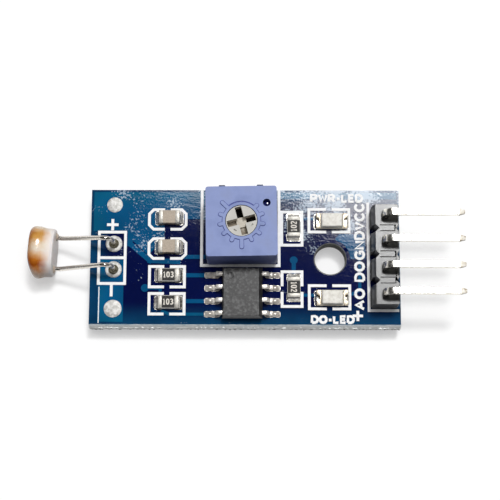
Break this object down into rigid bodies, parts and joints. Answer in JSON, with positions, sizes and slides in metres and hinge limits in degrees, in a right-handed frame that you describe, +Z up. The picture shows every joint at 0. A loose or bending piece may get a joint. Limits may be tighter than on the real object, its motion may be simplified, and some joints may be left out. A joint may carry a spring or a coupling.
{
  "type": "light sensor module",
  "caption": "Small circuit board with a photocell on bent leads, a comparator, a setting trimmer, indicator lamps and right-angle header pins.",
  "frame": {"origin": "the mounting hole's axis at the board's underside", "axes": "+X along the board towards the header pins, +Y towards the trimmer's edge of the board, +Z up out of the face that carries the parts"},
  "size_m": [0.0418, 0.0134, 0.0071],
  "materials": {
    "solder_mask": "satin",
    "masked_copper": "satin",
    "tinned_copper": "satin",
    "printed_ink": "matte",
    "alumina": "matte",
    "photo_film": "satin",
    "electrode_metal": "satin",
    "clear_coat": "gloss",
    "tinned_wire": "gloss",
    "trimmer_plastic": "satin",
    "rotor_plastic": "satin",
    "seal_rubber": "matte",
    "spring_brass": "satin",
    "resin": "satin",
    "moulding_compound": "matte",
    "capacitor_ceramic": "satin",
    "resistor_glaze": "satin",
    "lamp_laminate": "satin",
    "lamp_resin": "gloss",
    "header_plastic": "satin",
    "pin_metal": "gloss",
    "solder": "satin"
  },
  "bodies": {
    "module": {"board": "solder_mask", "top_copper": "masked_copper", "bottom_copper": "masked_copper", "tinned_pads": "tinned_copper", "legend_lines": "printed_ink", "cell_ceramic": "alumina", "cell_film": "photo_film", "cell_electrodes": "electrode_metal", "cell_coat": "clear_coat", "cell_lead_north": "tinned_wire", "cell_lead_south": "tinned_wire", "trimmer_housing": "trimmer_plastic", "trimmer_seal": "seal_rubber", "trimmer_element": "alumina", "trimmer_base": "resin", "trimmer_pin_1": "tinned_wire", "trimmer_pin_2": "tinned_wire", "trimmer_pin_3": "tinned_wire", "comparator_body": "moulding_compound", "comparator_lead_1": "tinned_copper", "comparator_lead_2": "tinned_copper", "comparator_lead_3": "tinned_copper", "comparator_lead_4": "tinned_copper", "comparator_lead_5": "tinned_copper", "comparator_lead_6": "tinned_copper", "comparator_lead_7": "tinned_copper", "comparator_lead_8": "tinned_copper", "capacitor_1_body": "capacitor_ceramic", "capacitor_1_ends": "tinned_copper", "capacitor_2_body": "capacitor_ceramic", "capacitor_2_ends": "tinned_copper", "resistor_1_body": "alumina", "resistor_1_coat": "resistor_glaze", "resistor_1_ends": "tinned_copper", "resistor_2_body": "alumina", "resistor_2_coat": "resistor_glaze", "resistor_2_ends": "tinned_copper", "resistor_3_body": "alumina", "resistor_3_coat": "resistor_glaze", "resistor_3_ends": "tinned_copper", "resistor_4_body": "alumina", "resistor_4_coat": "resistor_glaze", "resistor_4_ends": "tinned_copper", "power_lamp_base": "lamp_laminate", "power_lamp_lens": "lamp_resin", "power_lamp_ends": "tinned_copper", "signal_lamp_base": "lamp_laminate", "signal_lamp_lens": "lamp_resin", "signal_lamp_ends": "tinned_copper", "header_block": "header_plastic", "header_pin_1": "pin_metal", "header_pin_2": "pin_metal", "header_pin_3": "pin_metal", "header_pin_4": "pin_metal", "pin_solder": "solder", "chip_solder": "solder", "comparator_solder": "solder"},
    "rotor": {"trimmer_rotor": "rotor_plastic", "trimmer_wiper": "spring_brass"}
  },
  "joints": [
    {"name": "trimmer_turn", "type": "hinge", "parent": "module", "child": "rotor", "pos_m": [-0.00859, 0.00276, 0.006], "axis": [0, 0, 1], "range_deg": [-149, 121]}
  ]
}
